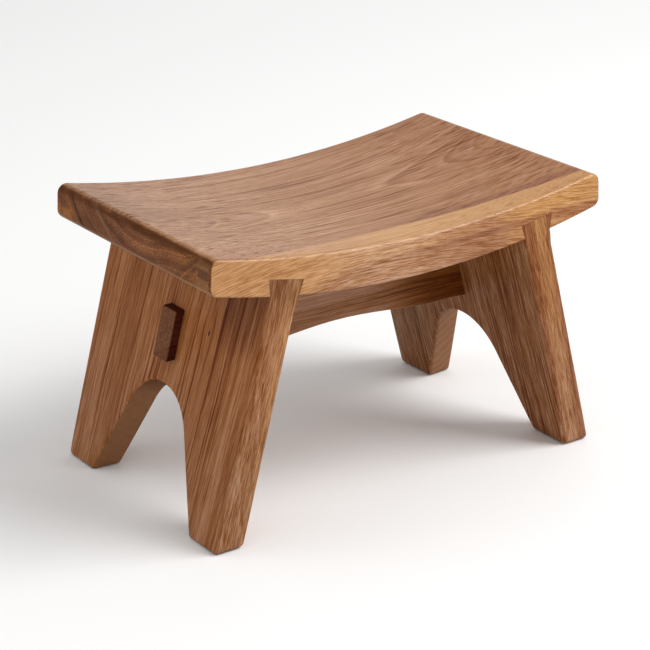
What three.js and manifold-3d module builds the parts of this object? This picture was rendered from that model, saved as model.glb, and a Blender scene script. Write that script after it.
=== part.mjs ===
// A low bench of four solid walnut boards: a seat sawn to a shallow arc, two
// splayed leg panels with an arch between their feet, and one stretcher.
// The tops of the legs are dovetail tongues that slide into grooves across the
// underside of the seat; the stretcher's tenons pass through the legs.
// Millimetres. +X runs along the seat, -Y is the front, +Z is up. The origin
// is on the floor, midway between the four feet.

import * as THREE from 'three';
import Module from 'manifold-3d';
import { mergeVertices } from 'three/addons/utils/BufferGeometryUtils.js';

// ---------------------------------------------------------------- dimensions
const GAP = 0.3;                // clearance left in every joint

const SEAT_LENGTH = 400;        // over the upper ends of the seat
const SEAT_DEPTH = 246;         // front edge to back edge
const SEAT_TOP_MID = 234.2;     // height of the sitting surface at mid-length
const SEAT_TOP_RISE = 20.6;     // how much higher it is at the ends
const SEAT_THICK_MID = 34.6;    // thickness at mid-length
const SEAT_UNDER_RISE = 24.2;   // how much the underside rises to the ends
const SEAT_END_LEAN = 1.5;      // the ends reach this much further at the bottom
const SEAT_ROUND = 3.0;         // rounding of the seat's long edges
const SEAT_END_ROUND = 8.2;    // rounding of the edges across its ends

const SPLAY = 15 * Math.PI / 180; // lean of the legs from upright
const LEG_THICK = 27.3;         // leg board, square to its face
const LEG_FOOT_X = 201.6;       // outer face of the leg where it meets the floor
const LEG_EASE = 1.9;           // easing of the leg's long edges
const LEG_SOLE_ROUND = 3.8;     // rounding of the edges of its soles

const ARCH_HALF_FLOOR = 74.9;   // half-width of the arch at the floor, mid board
const ARCH_TOP = 100.3;         // height of the arch, mid board
const ARCH_SIDE_LEAN = 23.6 * Math.PI / 180; // lean of its straight sides

const TONGUE_OUT = [146.0, 227.3];  // upper outer corner of the dovetail, x and z
const TONGUE_IN = [112.8, 221.0];   // upper inner corner

const RAIL_THICK = 28;          // stretcher, front to back
const RAIL_TOP = 177;           // height of its upper edge
const RAIL_BOTTOM = 119.8;      // height of its lower edge beside the legs
const RAIL_ARCH_RISE = 6.9;     // rise of its lower edge at mid-length
const RAIL_ARCH_HALF = 113;     // half-length of that arch
const RAIL_ROUND = 1.5;

const TENON_THICK = 22;
const TENON_TOP = 169.4;
const TENON_BOTTOM = 127.0;
const TENON_PROUD = 8.0;        // past the leg's outer face, square to it
const TENON_CHAMFER = 0.9;

// ------------------------------------------------------------------- helpers
const wasm = await Module();
wasm.setup();

const solid = (geometry) => {
  const g = geometry.clone();
  g.deleteAttribute('normal');
  g.deleteAttribute('uv');
  g.clearGroups();
  const m = mergeVertices(g, 1e-4);
  // triangles that closed up to a line when the vertices merged are dropped
  const tri = [];
  for (let i = 0; i < m.index.count; i += 3) {
    const [a, b, c] = [m.index.getX(i), m.index.getX(i + 1), m.index.getX(i + 2)];
    if (a !== b && b !== c && c !== a) tri.push(a, b, c);
  }
  return new wasm.Manifold(new wasm.Mesh({
    numProp: 3,
    vertProperties: new Float32Array(m.attributes.position.array),
    triVerts: new Uint32Array(tri),
  }));
};

const toGeometry = (manifold) => {
  const mesh = manifold.getMesh();
  const g = new THREE.BufferGeometry();
  g.setAttribute('position', new THREE.BufferAttribute(new Float32Array(mesh.vertProperties), 3));
  g.setIndex(new THREE.BufferAttribute(new Uint32Array(mesh.triVerts), 1));
  const flat = g.toNonIndexed();
  flat.computeVertexNormals();
  return flat;
};

// Closed outline, [x, z] pairs counter-clockwise, carried along y between two
// planes. Its rim at both planes can be rounded by `round`.
const alongY = (outline, y0, y1, round = 0, steps = 3) => {
  const shape = new THREE.Shape(outline.map(([x, z]) => new THREE.Vector2(x, z)));
  const geometry = new THREE.ExtrudeGeometry(shape, {
    depth: (y1 - y0) - 2 * round,
    bevelEnabled: round > 0,
    bevelThickness: round,
    bevelSize: round,
    bevelOffset: -round,
    bevelSegments: steps,
    curveSegments: 1,
  });
  // the shape's x stays x, its y becomes z, and the extrusion runs toward -y
  geometry.rotateX(Math.PI / 2);
  geometry.translate(0, y1 - round, 0);
  return geometry;
};

const block = (x0, x1, y0, y1, z0, z1) => {
  const g = new THREE.BoxGeometry(x1 - x0, y1 - y0, z1 - z0);
  g.translate((x0 + x1) / 2, (y0 + y1) / 2, (z0 + z1) / 2);
  return g;
};

// A circular arc through (0, mid) and (+-half, mid + rise): its height at x.
const arcHeight = (mid, rise, half) => {
  const r = (half * half + rise * rise) / (2 * rise);
  return (x) => mid + r - Math.sqrt(r * r - x * x);
};

const HALF = SEAT_LENGTH / 2;
const FRONT = -SEAT_DEPTH / 2;
const BACK = SEAT_DEPTH / 2;
const seatTop = arcHeight(SEAT_TOP_MID, SEAT_TOP_RISE, HALF);
const seatUnder = arcHeight(SEAT_TOP_MID - SEAT_THICK_MID, SEAT_UNDER_RISE, HALF);

// Replaces each marked corner of an outline by a short arc.
const rounded = (points, steps = 3) => {
  const out = [];
  const n = points.length;
  for (let i = 0; i < n; i++) {
    const [x, z, r = 0] = points[i];
    if (!r) { out.push([x, z]); continue; }
    const a = points[(i + n - 1) % n];
    const b = points[(i + 1) % n];
    const c = new THREE.Vector2(x, z);
    const u = new THREE.Vector2(a[0], a[1]).sub(c).normalize();
    const v = new THREE.Vector2(b[0], b[1]).sub(c).normalize();
    const half = Math.acos(THREE.MathUtils.clamp(u.dot(v), -1, 1)) / 2;
    const reach = r / Math.tan(half);
    const centre = c.clone().add(u.clone().add(v).normalize().multiplyScalar(r / Math.sin(half)));
    const p = c.clone().add(u.multiplyScalar(reach)).sub(centre);
    const q = c.clone().add(v.multiplyScalar(reach)).sub(centre);
    const turn = Math.atan2(p.x * q.y - p.y * q.x, p.dot(q));
    for (let k = 0; k <= steps; k++) {
      const w = p.clone().rotateAround(new THREE.Vector2(0, 0), turn * k / steps);
      out.push([centre.x + w.x, centre.y + w.y]);
    }
  }
  return out;
};

// ---------------------------------------------------------------------- legs
// The leg on the +X side; the other one is its mirror image.
const T = Math.tan(SPLAY);
const ACROSS = LEG_THICK / Math.cos(SPLAY);           // thickness measured level
const outerX = (z) => LEG_FOOT_X - T * z;
const innerX = (z) => LEG_FOOT_X - ACROSS - T * z;

// Where a leg face meets the underside of the seat.
const meet = (faceX) => {
  let z = 210;
  for (let i = 0; i < 30; i++) z = seatUnder(faceX(z));
  return [faceX(z), z];
};
const neckOut = meet(outerX);
const neckIn = meet(innerX);

// Outline of the arch in the plane of the board: v runs up the slope. Straight
// sides lean inward to a round top that is a little squarer than a half circle.
const archOutline = () => {
  const top = ARCH_TOP / Math.cos(SPLAY);
  const k = Math.tan(ARCH_SIDE_LEAN) * Math.cos(SPLAY);
  const side = (v) => ARCH_HALF_FLOOR - k * v;
  const vStart = 70 / Math.cos(SPLAY);
  const start = new THREE.Vector2(side(vStart), vStart);
  const along = new THREE.Vector2(-k, 1).normalize();
  const crown = new THREE.Vector2(0, top);
  const curve = new THREE.CubicBezierCurve(
    start,
    start.clone().addScaledVector(along, 17),
    crown.clone().add(new THREE.Vector2(24, 0)),
    crown,
  );
  const right = curve.getPoints(14);
  const pts = [[side(-14), -14]];
  for (const p of right) pts.push([p.x, p.y]);
  for (let i = right.length - 2; i >= 0; i--) pts.push([-right[i].x, right[i].y]);
  pts.push([-side(-14), -14]);
  return pts;
};

// A straight prism between two matching outlines.
const prism = (lower, upper) => {
  const n = lower.length;
  const tri = [];
  for (let i = 1; i < n - 1; i++) tri.push(0, i + 1, i, n, n + i, n + i + 1);
  for (let i = 0; i < n; i++) {
    const j = (i + 1) % n;
    tri.push(i, j, n + j, i, n + j, n + i);
  }
  const g = new THREE.BufferGeometry();
  g.setAttribute('position', new THREE.BufferAttribute(new Float32Array([...lower, ...upper].flat()), 3));
  g.setIndex(tri);
  return g;
};

const makeLeg = () => {
  // the end-on outline: eased sole, sloping faces, and the dovetail tongue that
  // flares above the underside of the seat
  const outline = rounded([
    [innerX(0), 0, LEG_SOLE_ROUND],
    [outerX(0), 0, LEG_SOLE_ROUND],
    neckOut,
    TONGUE_OUT,
    TONGUE_IN,
    neckIn,
  ]);
  let leg = solid(alongY(outline, FRONT, BACK));

  // the arch is sawn square to the board
  const up = new THREE.Vector3(-Math.sin(SPLAY), 0, Math.cos(SPLAY));
  const out = new THREE.Vector3(Math.cos(SPLAY), 0, Math.sin(SPLAY));
  const place = new THREE.Matrix4().makeBasis(new THREE.Vector3(0, 1, 0), up, out);
  place.setPosition(LEG_FOOT_X - ACROSS / 2, 0, 0);
  const shape = new THREE.Shape(archOutline().map(([y, v]) => new THREE.Vector2(y, v)));
  const arch = new THREE.ExtrudeGeometry(shape, { depth: 80, bevelEnabled: false, curveSegments: 1 });
  arch.translate(0, 0, -40);
  arch.applyMatrix4(place);
  leg = leg.subtract(solid(arch));

  // the mortise for the stretcher
  leg = leg.subtract(solid(block(60, 300, -TENON_THICK / 2 - GAP, TENON_THICK / 2 + GAP, TENON_BOTTOM - GAP, TENON_TOP + GAP)));

  // the four long edges are eased up to just under the seat
  const c = LEG_EASE;
  for (const y of [FRONT, BACK]) {
    const s = Math.sign(y);
    for (const [faceX, d] of [[outerX, 1], [innerX, -1]]) {
      const ring = (z) => [
        [faceX(z) - d * c, y + s * 0.01, z],
        [faceX(z) + d * 3, y + s * 0.01, z],
        [faceX(z) + d * 3, y - s * (c + 3), z],
      ];
      const top = ring(meet(faceX)[1] - 4);
      const low = ring(-20);
      const order = s * d > 0 ? [0, 2, 1] : [0, 1, 2];
      leg = leg.subtract(solid(prism(order.map((i) => low[i]), order.map((i) => top[i]))));
    }
  }
  return toGeometry(leg);
};

const mirrorX = (geometry) => {
  const g = geometry.clone();
  const p = g.attributes.position;
  for (let i = 0; i < p.count; i += 3) {
    const a = [p.getX(i), p.getY(i), p.getZ(i)];
    const b = [p.getX(i + 1), p.getY(i + 1), p.getZ(i + 1)];
    const c = [p.getX(i + 2), p.getY(i + 2), p.getZ(i + 2)];
    p.setXYZ(i, -a[0], a[1], a[2]);
    p.setXYZ(i + 1, -c[0], c[1], c[2]);
    p.setXYZ(i + 2, -b[0], b[1], b[2]);
  }
  g.computeVertexNormals();
  return g;
};

// ---------------------------------------------------------------------- seat
const makeSeat = () => {
  const n = 36;
  const outline = [];
  const xu = HALF + SEAT_END_LEAN;
  // the points next to the corners are left out, as the rounding reaches past them
  const beside = (i) => i === 1 || i === n - 1;
  for (let i = 0; i <= n; i++) {
    if (beside(i)) continue;
    const x = -xu + 2 * xu * i / n;
    outline.push([x, seatUnder(x), i === 0 || i === n ? SEAT_END_ROUND : 0]);
  }
  for (let i = 0; i <= n; i++) {
    if (beside(i)) continue;
    const x = HALF - 2 * HALF * i / n;
    outline.push([x, seatTop(x), i === 0 || i === n ? SEAT_END_ROUND : 0]);
  }
  let seat = solid(alongY(rounded(outline, 7), FRONT, BACK, SEAT_ROUND));

  // a dovetailed groove for each leg, cut right across
  for (const side of [1, -1]) {
    const lean = (a, b, d) => [a[0] + (a[0] - b[0]) / (a[1] - b[1]) * d, a[1] + d];
    let groove = [
      lean(neckIn, TONGUE_IN, -9),
      lean(neckOut, TONGUE_OUT, -9),
      TONGUE_OUT,
      TONGUE_IN,
    ];
    groove = [
      [groove[0][0] - GAP, groove[0][1]],
      [groove[1][0] + GAP, groove[1][1]],
      [groove[2][0] + GAP, groove[2][1] + GAP],
      [groove[3][0] - GAP, groove[3][1] + GAP],
    ];
    if (side < 0) groove = groove.map(([x, z]) => [-x, z]).reverse();
    seat = seat.subtract(solid(alongY(groove, FRONT - 20, BACK + 20)));
  }
  return toGeometry(seat);
};

// ----------------------------------------------------------------- stretcher
const makeStretcher = () => {
  const outline = [];
  const n = 28;
  outline.push([-190, RAIL_BOTTOM]);
  for (let i = 0; i <= n; i++) {
    const x = -RAIL_ARCH_HALF + 2 * RAIL_ARCH_HALF * i / n;
    outline.push([x, RAIL_BOTTOM + RAIL_ARCH_RISE * (0.5 + 0.5 * Math.cos(Math.PI * x / RAIL_ARCH_HALF))]);
  }
  outline.push([190, RAIL_BOTTOM], [190, RAIL_TOP], [-190, RAIL_TOP]);
  let rail = solid(alongY(outline, -RAIL_THICK / 2, RAIL_THICK / 2, RAIL_ROUND, 2));
  // its shoulders are cut to the inner faces of the legs
  const shoulder = (z) => innerX(z) - GAP;
  for (const side of [1, -1]) {
    const cut = [[shoulder(80), 80], [400, 80], [400, 220], [shoulder(220), 220]];
    rail = rail.subtract(solid(alongY(side > 0 ? cut : cut.map(([x, z]) => [-x, z]).reverse(), -60, 60)));
  }
  // one tenon bar through both legs, its ends parallel to their outer faces
  const reach = TENON_PROUD / Math.cos(SPLAY);
  const bar = new THREE.BoxGeometry(2, TENON_THICK, TENON_TOP - TENON_BOTTOM);
  bar.translate(0, 0, (TENON_TOP + TENON_BOTTOM) / 2);
  const end = (z) => outerX(z) + reach;
  const tenonOutline = [
    [-end(TENON_BOTTOM), TENON_BOTTOM], [end(TENON_BOTTOM), TENON_BOTTOM],
    [end(TENON_TOP), TENON_TOP], [-end(TENON_TOP), TENON_TOP],
  ];
  let tenon = solid(alongY(tenonOutline, -TENON_THICK / 2, TENON_THICK / 2));
  // the upright edges of its ends are eased
  for (const side of [1, -1]) {
    for (const face of [1, -1]) {
      const c = TENON_CHAMFER;
      const ring = (z) => [
        [side * (end(z) - c), face * (TENON_THICK / 2 + 0.01), z],
        [side * (end(z) + 3), face * (TENON_THICK / 2 + 0.01), z],
        [side * (end(z) + 3), face * (TENON_THICK / 2 - c - 3), z],
      ];
      const order = side * face > 0 ? [0, 2, 1] : [0, 1, 2];
      tenon = tenon.subtract(solid(prism(order.map((i) => ring(TENON_BOTTOM - 4)[i]), order.map((i) => ring(TENON_TOP + 4)[i]))));
    }
  }
  return toGeometry(rail.add(tenon));
};

// ------------------------------------------------------------------ assembly
const walnut = (name, color, roughness) => {
  const m = new THREE.MeshStandardMaterial({ color, roughness, metalness: 0 });
  m.name = name;
  return m;
};

const bench = new THREE.Group();
bench.name = 'bench';

const add = (name, geometry, material) => {
  const mesh = new THREE.Mesh(geometry, material);
  mesh.name = name;
  bench.add(mesh);
  return mesh;
};

const legGeometry = makeLeg();
add('seat', makeSeat(), walnut('seat_walnut', 0xb58a68, 0.5));
add('leg_right', legGeometry, walnut('leg_right_walnut', 0x8a5a3a, 0.52));
add('leg_left', mirrorX(legGeometry), walnut('leg_left_walnut', 0x8a5a3a, 0.52));
add('stretcher', makeStretcher(), walnut('stretcher_walnut', 0x6e4630, 0.52));

export default bench;
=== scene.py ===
"""A low walnut bench: a dished seat on two splayed, arched leg panels, with a stretcher tenoned through them.

Lengths in this file are millimetres until a mesh is made; meshes, lights and the camera are in metres, in the row frame.
"""

import math

import bmesh
import bpy
import numpy as np
from mathutils import Matrix, Vector


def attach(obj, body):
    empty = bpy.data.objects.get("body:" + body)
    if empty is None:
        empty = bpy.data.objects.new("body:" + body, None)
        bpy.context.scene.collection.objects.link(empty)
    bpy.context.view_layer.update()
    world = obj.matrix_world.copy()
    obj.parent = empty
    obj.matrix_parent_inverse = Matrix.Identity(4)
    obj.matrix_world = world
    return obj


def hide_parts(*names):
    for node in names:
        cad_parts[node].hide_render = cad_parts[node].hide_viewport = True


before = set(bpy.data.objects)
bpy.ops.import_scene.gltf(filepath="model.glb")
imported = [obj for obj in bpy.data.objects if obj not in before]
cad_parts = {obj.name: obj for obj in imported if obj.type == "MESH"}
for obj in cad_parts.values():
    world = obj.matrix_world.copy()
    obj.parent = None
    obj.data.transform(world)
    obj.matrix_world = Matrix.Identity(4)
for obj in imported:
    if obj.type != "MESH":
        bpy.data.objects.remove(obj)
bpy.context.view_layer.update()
MM = 0.001

# ------------------------------------------------------------------ sizes

SEAT_HALF = 200.0
SEAT_END_LEAN = 1.33
SEAT_Y = 123.0
SEAT_CORNER = 8.3
SEAT_ROUND_TOP = 3.0
SEAT_ROUND_UNDER = 2.2
SPLAY = math.radians(15)
SIN, COS, TAN = math.sin(SPLAY), math.cos(SPLAY), math.tan(SPLAY)
LEG_THICK = 27.3
LEG_FOOT_X = 201.6
LEG_Y = 123.0
ARCH_FLOOR = 74.9
ARCH_TOP = 100.3
ARCH_LEAN = math.tan(math.radians(23.6)) * COS
TONGUE_OUT = (146.0, 227.3)
TONGUE_IN = (112.8, 221.0)
RAIL_Y = 14.0
RAIL_TOP = 177.0
RAIL_BOTTOM = 119.8
RAIL_RISE = 6.9
RAIL_ARCH = 113.0
TENON_Y = 11.0
TENON_TOP = 169.4
TENON_BOTTOM = 127.0
TENON_PROUD = 8.0


def arc_height(mid, rise, half):
    """Height and slope of a circular dish with its lowest point in the middle."""
    r = (half * half + rise * rise) / (2 * rise)
    return (
        lambda x: mid + r - math.sqrt(r * r - x * x),
        lambda x: x / math.sqrt(r * r - x * x),
    )


seat_top, seat_top_slope = arc_height(234.2, 20.6, 200.0)
seat_under, seat_under_slope = arc_height(199.6, 24.2, 200.0)


def outer_x(z):
    return LEG_FOOT_X - TAN * z


def inner_x(z):
    return LEG_FOOT_X - LEG_THICK / COS - TAN * z


def smoothstep(t):
    t = min(1.0, max(0.0, t))
    return t * t * (3 - 2 * t)


# ------------------------------------------------------------------ mesh helpers


def mesh_from(name, verts, faces):
    """An object of those vertices (mm) and faces, with its normals turned outwards."""
    me = bpy.data.meshes.new(name)
    me.from_pydata([Vector(v) * MM for v in verts], [], faces)
    bm = bmesh.new()
    bm.from_mesh(me)
    bmesh.ops.remove_doubles(bm, verts=bm.verts, dist=1e-7)
    bmesh.ops.dissolve_degenerate(bm, edges=bm.edges, dist=1e-8)
    bmesh.ops.recalc_face_normals(bm, faces=bm.faces)
    bm.to_mesh(me)
    bm.free()
    ob = bpy.data.objects.new(name, me)
    bpy.context.scene.collection.objects.link(ob)
    return ob


def loft(name, rings, first_cap, last_cap):
    """Quads between one closed ring of points and the next, and the given faces over the first and last ring."""
    n = len(rings[0])
    verts = [p for ring in rings for p in ring]
    faces = []
    for k in range(len(rings) - 1):
        for i in range(n):
            j = (i + 1) % n
            faces.append((k * n + i, k * n + j, (k + 1) * n + j, (k + 1) * n + i))
    base = (len(rings) - 1) * n
    faces += [tuple(f) for f in first_cap]
    faces += [tuple(base + i for i in f) for f in last_cap]
    return mesh_from(name, verts, faces)


def prism(name, outline, half):
    """A straight prism along Y of an outline of (x, z) points."""
    n = len(outline)
    verts = [(x, -half, z) for x, z in outline] + [(x, half, z) for x, z in outline]
    faces = [(i, (i + 1) % n, n + (i + 1) % n, n + i) for i in range(n)]
    faces += [tuple(range(n)), tuple(range(n, 2 * n))]
    return mesh_from(name, verts, faces)


def boolean(ob, other, how):
    """ob cut by, or joined with, the other closed mesh, which is used up."""
    mod = ob.modifiers.new("bool", "BOOLEAN")
    mod.operation = how
    mod.solver = "EXACT"
    mod.object = other
    bpy.context.view_layer.update()
    made = bpy.data.meshes.new_from_object(
        ob.evaluated_get(bpy.context.evaluated_depsgraph_get())
    )
    ob.modifiers.clear()
    old = ob.data
    ob.data = made
    bpy.data.meshes.remove(old)
    bpy.data.objects.remove(other, do_unlink=True)
    return ob


def dress(ob, node, material):
    """Smooth shading over the rounded edges with true corners kept, then its place in the frame and its finish."""
    me = ob.data
    bm = bmesh.new()
    bm.from_mesh(me)
    bmesh.ops.remove_doubles(bm, verts=bm.verts, dist=2e-6)
    bmesh.ops.dissolve_degenerate(bm, edges=bm.edges, dist=1e-7)
    big = [f for f in bm.faces if len(f.verts) > 4]
    bmesh.ops.triangulate(bm, faces=big, quad_method="BEAUTY", ngon_method="BEAUTY")
    bmesh.ops.recalc_face_normals(bm, faces=bm.faces)
    open_edges = sum(1 for e in bm.edges if len(e.link_faces) != 2)
    bm.to_mesh(me)
    bm.free()
    print(ob.name, "vertices", len(me.vertices), "edges without two faces", open_edges)
    for p in me.polygons:
        p.use_smooth = True
    me.set_sharp_from_angle(angle=math.radians(32))
    weighted = ob.modifiers.new("weighted normals", "WEIGHTED_NORMAL")
    weighted.keep_sharp = True
    weighted.weight = 80
    me.materials.clear()
    me.materials.append(material)
    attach(ob, "root")
    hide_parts(node)
    return ob


def round_steps(count=7, flat=1.1):
    """(how far in from the full outline, how far below the flat face), as shares of the radius, from the face to the side.

    The first lies in the flat face, just inside its rim.
    """
    out = [(flat, 0.0)]
    for i in range(count):
        a = math.pi / 2 * i / (count - 1)
        out.append((1 - math.sin(a), 1 - math.cos(a)))
    return out


# ------------------------------------------------------------------ seat


def seat_outline(segments=110):
    """Points (x, z), outward normals and rounding radius of the seat seen end on to its depth, anticlockwise from the lower left."""
    half_under = SEAT_HALF + SEAT_END_LEAN
    zu, zt = seat_under(200.0), seat_top(200.0)
    end_dir = Vector((SEAT_HALF - half_under, zt - zu)).normalized()
    end_n = Vector((end_dir.y, -end_dir.x))
    end_p = Vector((half_under, zu))

    def clearance(x, curve, slope, sign):
        s = slope(x)
        n = Vector((-s, 1)).normalized() * sign
        c = Vector((x, curve(x))) - n * SEAT_CORNER
        return -(c - end_p).dot(end_n), c, n

    def corner(curve, slope, sign):
        lo, hi = 180.0, 203.0
        for _ in range(60):
            mid = (lo + hi) / 2
            if clearance(mid, curve, slope, sign)[0] > SEAT_CORNER:
                lo = mid
            else:
                hi = mid
        _, c, n = clearance(lo, curve, slope, sign)
        return lo, c, n

    xu, cu, nu = corner(seat_under, seat_under_slope, -1)
    xt, ct, nt = corner(seat_top, seat_top_slope, 1)

    def bend(c, a, b, steps=15):
        a0, a1 = math.atan2(a.y, a.x), math.atan2(b.y, b.x)
        out = []
        for i in range(1, steps):
            t = a0 + (a1 - a0) * i / steps
            n = Vector((math.cos(t), math.sin(t)))
            out.append((c + n * SEAT_CORNER, n))
        return out

    right = []
    right += bend(cu, nu, end_n)
    low, high = cu + end_n * SEAT_CORNER, ct + end_n * SEAT_CORNER
    for i in range(5):
        right.append((low.lerp(high, i / 4), end_n))
    right += bend(ct, end_n, nt)
    pts, nrm, rad = [], [], []

    def add(p, n, r):
        pts.append(Vector(p))
        nrm.append(Vector(n))
        rad.append(r)

    def end_radius(z):
        t = smoothstep((z - zu) / (zt - zu))
        return SEAT_ROUND_UNDER + (SEAT_ROUND_TOP - SEAT_ROUND_UNDER) * t

    for i in range(segments + 1):
        x = -xu + 2 * xu * i / segments
        n = Vector((seat_under_slope(x), -1)).normalized()
        add((x, seat_under(x)), n, SEAT_ROUND_UNDER)
    for p, n in right:
        add(p, n, end_radius(p.y))
    for i in range(segments + 1):
        x = xt - 2 * xt * i / segments
        n = Vector((-seat_top_slope(x), 1)).normalized()
        add((x, seat_top(x)), n, SEAT_ROUND_TOP)
    for p, n in reversed(right):
        add((-p.x, p.y), (-n.x, n.y), end_radius(p.y))
    return pts, nrm, rad, segments + 1, len(right)


def make_seat():
    pts, nrm, rad, row, side = seat_outline()
    n = len(pts)
    steps = round_steps()

    def ring(y_sign, drop, inset):
        out = []
        for p, m, r in zip(pts, nrm, rad):
            q = p - m * (r * inset)
            out.append((q.x, y_sign * (SEAT_Y - r * drop), q.y))
        return out

    rings = []
    for inset, drop in steps:
        rings.append(ring(-1, drop, inset))
    for y in (-116.0, -90.0, -60.0, -30.0, 0.0, 30.0, 60.0, 90.0, 116.0):
        rings.append([(p.x, y, p.y) for p in pts])
    for inset, drop in reversed(steps):
        rings.append(ring(1, drop, inset))
    cap = []
    for i in range(row - 1):
        a, b = i, i + 1
        c, d = (row + side) + (row - 1 - i - 1), (row + side) + (row - 1 - i)
        cap.append((a, b, c, d))
    cap.append([row - 1] + [row + i for i in range(side)] + [row + side])
    left = row + side + row
    cap.append([left - 1] + [left + i for i in range(side)] + [0])
    ob = loft("seat_board", rings, cap, cap)
    gap = 0.18
    for s in (1, -1):
        flare_out = Vector(TONGUE_OUT) - Vector((outer_x(NECK_OUT), NECK_OUT))
        flare_in = Vector(TONGUE_IN) - Vector((inner_x(NECK_IN), NECK_IN))
        side_out = Vector((flare_out.y, -flare_out.x)).normalized() * gap
        side_in = Vector((-flare_in.y, flare_in.x)).normalized() * gap
        low_out = Vector((outer_x(NECK_OUT), NECK_OUT)) - flare_out * 0.7
        low_in = Vector((inner_x(NECK_IN), NECK_IN)) - flare_in * 0.8
        up = (Vector(TONGUE_OUT) - Vector(TONGUE_IN)).normalized()
        lift = Vector((-up.y, up.x)) * gap
        outline = [
            low_in + side_in,
            low_out + side_out,
            Vector(TONGUE_OUT) + side_out + lift,
            Vector(TONGUE_IN) + side_in + lift,
        ]
        cut = prism("cut", [(s * p.x, p.y) for p in outline], 140.0)
        boolean(ob, cut, "DIFFERENCE")
    return ob


def meet_under(face_x):
    lo, hi = 180.0, 230.0
    for _ in range(60):
        mid = (lo + hi) / 2
        if seat_under(face_x(mid)) > mid:
            lo = mid
        else:
            hi = mid
    return lo


NECK_OUT = meet_under(outer_x)
NECK_IN = meet_under(inner_x)


# ------------------------------------------------------------------ legs


def arch_line(steps=44):
    """Half of the arch in the middle plane of the board, from the floor up to the crown: (y, v) with y positive."""
    start = 70.0 / COS
    foot = Vector((ARCH_FLOOR - ARCH_LEAN * start, start))
    lean = Vector((-ARCH_LEAN, 1)).normalized()
    crown = Vector((0, ARCH_TOP / COS))
    p1, p2 = foot + lean * 17, crown + Vector((24, 0))
    pts = []
    for i in range(steps + 1):
        t = i / steps
        a = (1 - t) ** 3
        b = 3 * (1 - t) ** 2 * t
        c = 3 * (1 - t) * t * t
        d = t**3
        pts.append(foot * a + p1 * b + p2 * c + crown * d)
    return pts


def leg_outline(w):
    """The board's face outline at depth w below its outer face: points (y, v), outward normals and edge radius."""
    sole = w * TAN
    lift = LEG_THICK / 2 * TAN
    neck = (NECK_OUT / COS) + (
        (NECK_IN + LEG_THICK * SIN) / COS - NECK_OUT / COS
    ) * w / LEG_THICK
    top = neck + 1.6
    out = []

    def radius(v):
        near_top = smoothstep((v - (neck - 15)) / 13.0)
        near_sole = 1 - smoothstep((v - sole - 2) / 18.0)
        r = 3.2 + 0.5 * near_sole
        return r * (1 - near_top) + 0.35 * near_top

    def add(y, v, n, r=None):
        out.append((Vector((y, v)), Vector(n).normalized(), radius(v) if r is None else r))

    slope = Vector((-ARCH_LEAN, 1)).normalized()
    wall_n = Vector((-slope.y, slope.x))
    big, small = 5.0, 4.6
    half = []
    for i in range(9):
        v = top - (top - (neck - 16)) * i / 8
        half.append((Vector((LEG_Y, v)), Vector((1, 0)), None))
    for v in np.linspace(neck - 18, sole + big + 18, 12):
        half.append((Vector((LEG_Y, v)), Vector((1, 0)), None))
    for v in (sole + big + 9, sole + big + 4):
        half.append((Vector((LEG_Y, v)), Vector((1, 0)), None))
    c = Vector((LEG_Y - big, sole + big))
    for i in range(8):
        a = -math.pi / 2 * i / 7
        n = Vector((math.cos(a), math.sin(a)))
        half.append((c + n * big, n, 3.7))
    foot_y = ARCH_FLOOR - ARCH_LEAN * (sole - lift)
    reach = small / math.tan((math.pi / 2 - math.atan(ARCH_LEAN)) / 2)
    inner_c = Vector((foot_y + reach, sole + small))
    for t in (0.33, 0.66):
        half.append((Vector((LEG_Y - big, sole)).lerp(Vector((inner_c.x, sole)), t), Vector((0, -1)), 3.7))
    a0, a1 = -math.pi / 2, math.atan2(wall_n.y, wall_n.x) - 2 * math.pi
    if a1 < -math.pi - 1:
        a1 += 2 * math.pi
    a1 = -(2 * math.pi - (math.atan2(wall_n.y, wall_n.x) % (2 * math.pi)))
    for i in range(8):
        a = a0 + (a1 - a0) * i / 7
        n = Vector((math.cos(a), math.sin(a)))
        half.append((inner_c + n * small, n, None))
    first = half[-1][0]
    arch = arch_line()
    begin = arch[0] + Vector((0, lift))
    for t in (0.15, 0.4, 0.7):
        half.append((first.lerp(begin, t), wall_n, None))
    for i, p in enumerate(arch):
        a = arch[max(0, i - 1)]
        b = arch[min(len(arch) - 1, i + 1)]
        d = (b - a).normalized()
        n = Vector((-d.y, d.x))
        if i == 0:
            n = wall_n
        if i == len(arch) - 1:
            n = Vector((0, -1))
        half.append((p + Vector((0, lift)), n, None))
    for p, n, r in half:
        add(p.x, p.y, (n.x, n.y), r)
    for p, n, r in reversed(half[:-1]):
        add(-p.x, p.y, (-n.x, n.y), r)
    return out


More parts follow.
